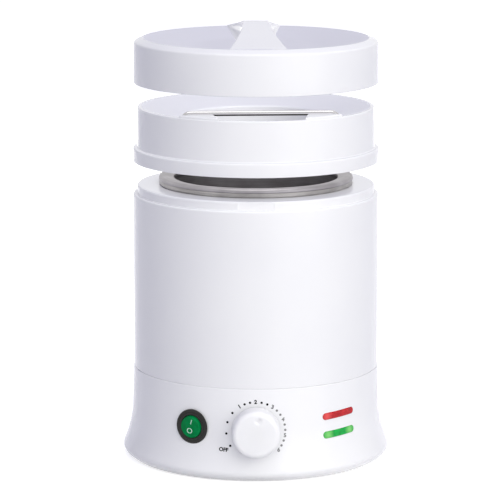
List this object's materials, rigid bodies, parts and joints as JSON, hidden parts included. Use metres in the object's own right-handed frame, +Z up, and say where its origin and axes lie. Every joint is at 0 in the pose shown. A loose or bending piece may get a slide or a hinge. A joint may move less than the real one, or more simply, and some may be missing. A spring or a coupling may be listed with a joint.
{
  "type": "wax melter",
  "caption": "Electric wax melter: white flared body with a heated well and lift-out pot, splash collar with scraper wire, domed lid with grip, dial knob, rocker switch and indicator windows.",
  "frame": {"origin": "centre of the base, on the surface that it stands on", "axes": "+Z up along the axis of the body, -Y towards the front with the knob, +X to the right seen from the front"},
  "size_m": [0.1746, 0.1839, 0.2864],
  "materials": {
    "shell_white": "gloss",
    "collar_white": "gloss",
    "lid_white": "gloss",
    "knob_white": "gloss",
    "base_grey": "fine texture",
    "foot_rubber": "matte",
    "pot_aluminium": "brushed",
    "well_aluminium": "satin",
    "heater_steel": "heat-tinted",
    "shield_steel": "plain",
    "wire_steel": "polished",
    "shaft_steel": "turned",
    "screw_steel": "zinc-plated",
    "glass_wool": "felted",
    "copper": "drawn",
    "phenolic_black": "moulded",
    "bezel_black": "fine texture",
    "rocker_green": "translucent gloss",
    "red_window": "translucent gloss",
    "green_window": "translucent gloss",
    "lamp_glass": "clear",
    "board_green": "solder mask",
    "terminal_brass": "plated",
    "block_ceramic": "unglazed",
    "lead_sleeving": "glass-fibre sleeving"
  },
  "bodies": {
    "housing": {"outer_housing": "shell_white", "base_skirt": "shell_white", "base_plate": "base_grey", "foot_ring": "foot_rubber", "base_screws": "screw_steel", "heating_well": "well_aluminium", "band_heater": "heater_steel", "heater_screw": "screw_steel", "insulation_sleeve": "glass_wool", "heat_shield": "shield_steel", "sensor_bulb": "copper", "bulb_clip": "shield_steel", "capillary_tube": "copper", "thermal_cutout": "phenolic_black", "thermostat_body": "phenolic_black", "thermostat_nut": "screw_steel", "rocker_bezel": "bezel_black", "rocker_pin": "screw_steel", "switch_terminals": "terminal_brass", "red_lens": "red_window", "green_lens": "green_window", "indicator_lamps": "lamp_glass", "indicator_board": "board_green", "board_screws": "screw_steel", "mains_inlet": "bezel_black", "inlet_pins": "terminal_brass", "inlet_screws": "screw_steel", "terminal_block": "block_ceramic", "block_screws": "terminal_brass", "earth_screw": "terminal_brass", "wiring": "lead_sleeving"},
    "pot": {"wax_pot": "pot_aluminium"},
    "collar": {"collar": "collar_white", "scraper_wire": "wire_steel"},
    "lid": {"lid": "lid_white"},
    "knob": {"control_knob": "knob_white", "thermostat_shaft": "shaft_steel"},
    "switch": {"rocker_paddle": "rocker_green"}
  },
  "joints": [
    {"name": "pot_lift", "type": "slide", "parent": "housing", "child": "pot", "axis": [0, 0, 1], "range_m": [0, 0.125]},
    {"name": "collar_lift", "type": "slide", "parent": "pot", "child": "collar", "axis": [0, 0, 1], "range_m": [-0.021, 0.04]},
    {"name": "lid_lift", "type": "slide", "parent": "collar", "child": "lid", "axis": [0, 0, 1], "range_m": [-0.035, 0.06]},
    {"name": "knob_turn", "type": "hinge", "parent": "housing", "child": "knob", "pos_m": [0, -0.08443, 0.0337], "axis": [0, 1, 0], "range_deg": [-128.4, 124.9]},
    {"name": "switch_rock", "type": "hinge", "parent": "housing", "child": "switch", "pos_m": [-0.04075, -0.07058, 0.0337], "axis": [0.8438, -0.4872, -0.225], "range_deg": [-14, 0]}
  ]
}
